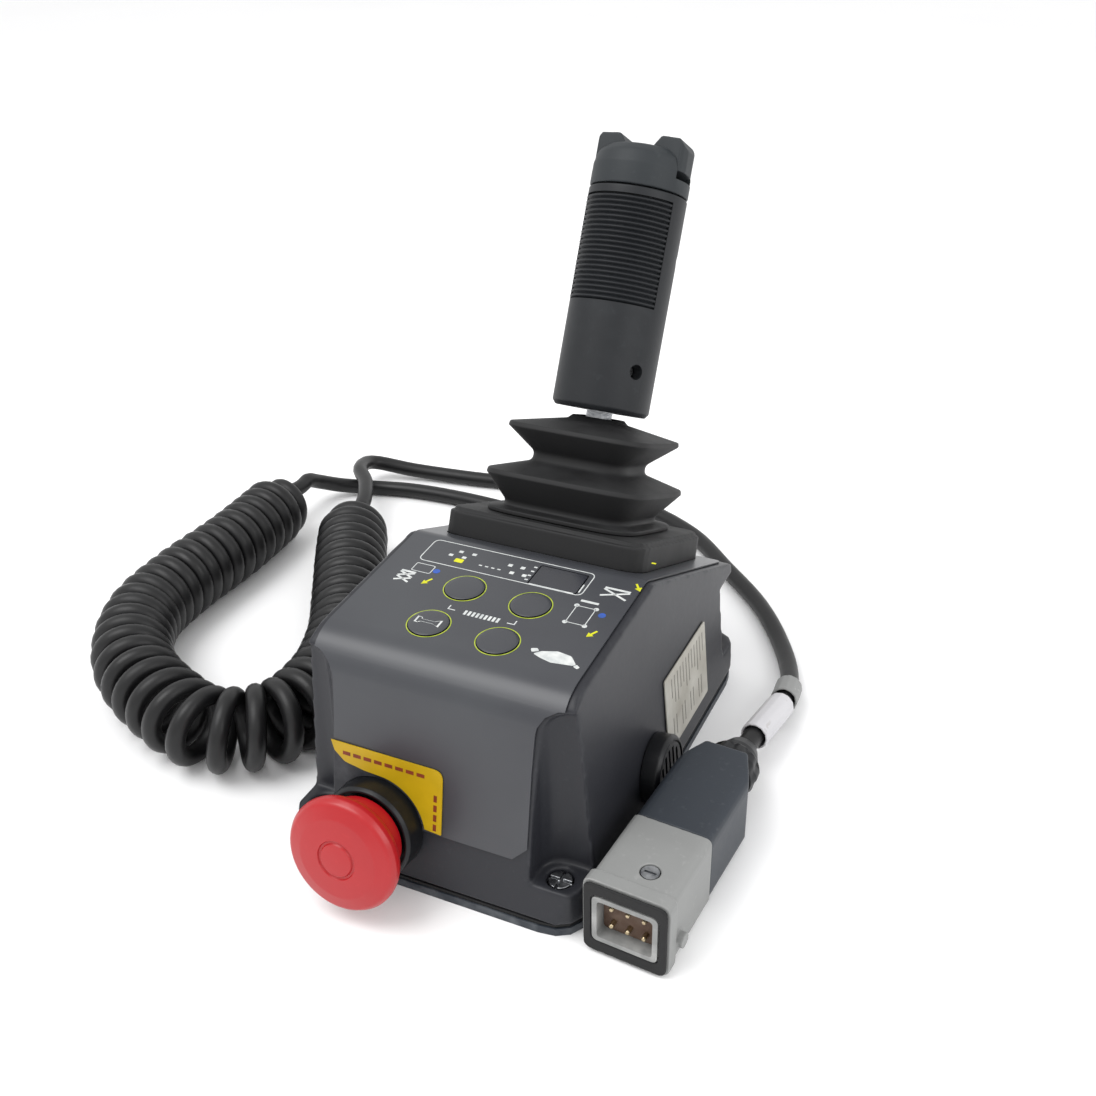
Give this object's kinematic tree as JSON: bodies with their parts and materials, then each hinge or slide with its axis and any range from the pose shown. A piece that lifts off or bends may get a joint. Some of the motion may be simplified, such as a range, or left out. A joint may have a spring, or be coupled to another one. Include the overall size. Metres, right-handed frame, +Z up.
{
  "type": "platform control box",
  "caption": "Hand control box with a spring-centred joystick, stop button, membrane keypad, alarm and a curly cord ending in a rectangular plug.",
  "frame": {"origin": "under the middle of the base plate, on the surface that the box stands on", "axes": "+X to the right of a person facing the stop button, +Y to the rear, +Z up"},
  "size_m": [0.2962, 0.3063, 0.2101],
  "materials": {
    "housing_plastic": "dark charcoal, fine satin texture",
    "plate_grey": "dark grey paint",
    "sheet_grey": "mid grey polyester sheet",
    "boot_rubber": "black, dull",
    "grip_plastic": "black, soft touch",
    "cap_plastic": "dark grey, soft touch",
    "red_plastic": "red, satin gloss",
    "legend_yellow": "yellow, printed",
    "pale_plastic": "light grey, fine texture",
    "board_green": "green lacquer",
    "black_plastic": "black, satin",
    "window_black": "dark, clear window",
    "steel": "zinc plated",
    "insert_brown": "dark brown",
    "label_silver": "silver grey foil, satin",
    "sleeve_white": "white heat-shrink tube",
    "cord_black": "black, satin"
  },
  "bodies": {
    "box": {"housing_shell": "housing_plastic", "base_plate": "plate_grey", "base_gasket": "boot_rubber", "panel_sheet": "sheet_grey", "switch_horn": "black_plastic", "switch_mode_left": "black_plastic", "switch_mode_right": "black_plastic", "switch_speed": "black_plastic", "control_board": "board_green", "display_module": "black_plastic", "display_window": "window_black", "boot_frame": "boot_rubber", "mount_bracket": "steel", "sensor_board": "board_green", "stop_legend": "legend_yellow", "stop_collar": "black_plastic", "stop_locknut": "black_plastic", "stop_contact_block": "pale_plastic", "alarm_body": "black_plastic", "alarm_grille": "black_plastic", "alarm_nut": "black_plastic", "side_label": "label_silver", "gland_body": "black_plastic", "gland_dome": "black_plastic", "gland_nut": "black_plastic", "plug_housing": "pale_plastic", "plug_insert": "insert_brown", "plug_seal": "boot_rubber", "plug_hood": "plate_grey", "plug_gland": "black_plastic", "plug_screw": "steel", "marker_sleeve": "sleeve_white", "end_sleeve": "pale_plastic", "curly_coil": "cord_black", "plug_tail": "cord_black", "box_tail": "cord_black", "cover_screw_1": "steel", "cover_screw_2": "steel", "cover_screw_3": "steel", "cover_screw_4": "steel"},
    "lever": {"joystick_shaft": "steel", "grip_body": "grip_plastic", "grip_pad": "grip_plastic", "grip_cap": "cap_plastic", "rocker_pin": "steel", "grip_set_screw": "steel", "trigger_pin": "steel", "trigger_switch": "black_plastic", "rocker_switch": "black_plastic", "boot_bellows": "boot_rubber", "pivot_pin": "steel", "return_spring": "steel"},
    "trigger": {"enable_trigger": "black_plastic"},
    "rocker": {"thumb_rocker": "cap_plastic"},
    "stop_rod": {"stop_plunger": "red_plastic"},
    "stop_button": {"stop_head": "red_plastic"},
    "horn_key": {"key_horn": "sheet_grey"},
    "mode_left_key": {"key_mode_left": "sheet_grey"},
    "mode_right_key": {"key_mode_right": "sheet_grey"},
    "speed_key": {"key_speed": "sheet_grey"}
  },
  "joints": [
    {"name": "joystick", "type": "hinge", "parent": "box", "child": "lever", "pos_m": [0, 0.03614, 0.05867], "axis": [1, 0, 0], "range_deg": [-20, 20], "stiffness_Nm_per_rad": 4, "deforming": ["boot_bellows", "return_spring"]},
    {"name": "steer_rocker", "type": "hinge", "parent": "lever", "child": "rocker", "pos_m": [0, 0.10654, 0.19901], "axis": [0, 0.8938, -0.4484], "range_deg": [-8, 8], "stiffness_Nm_per_rad": 0.3},
    {"name": "enable_trigger", "type": "hinge", "parent": "lever", "child": "trigger", "pos_m": [0, 0.09665, 0.16592], "axis": [-1, 0, 0], "range_deg": [0, 8], "stiffness_Nm_per_rad": 0.5},
    {"name": "stop_push", "type": "slide", "parent": "box", "child": "stop_rod", "axis": [0, 0.9839, -0.1789], "range_m": [0, 0.005]},
    {"name": "stop_twist_release", "type": "hinge", "parent": "stop_rod", "child": "stop_button", "pos_m": [-0.0185, -0.07937, 0.0227], "axis": [0, 0.9839, -0.1789], "range_deg": [0, 30], "stiffness_Nm_per_rad": 0.05},
    {"name": "horn_press", "type": "slide", "parent": "box", "child": "horn_key", "axis": [0, 0.0583, -0.9983], "range_m": [0, 0.0006], "stiffness_N_per_m": 1500},
    {"name": "mode_left_press", "type": "slide", "parent": "box", "child": "mode_left_key", "axis": [0, 0.0583, -0.9983], "range_m": [0, 0.0006], "stiffness_N_per_m": 1500},
    {"name": "mode_right_press", "type": "slide", "parent": "box", "child": "mode_right_key", "axis": [0, 0.0583, -0.9983], "range_m": [0, 0.0006], "stiffness_N_per_m": 1500},
    {"name": "speed_press", "type": "slide", "parent": "box", "child": "speed_key", "axis": [0, 0.0583, -0.9983], "range_m": [0, 0.0006], "stiffness_N_per_m": 1500}
  ]
}
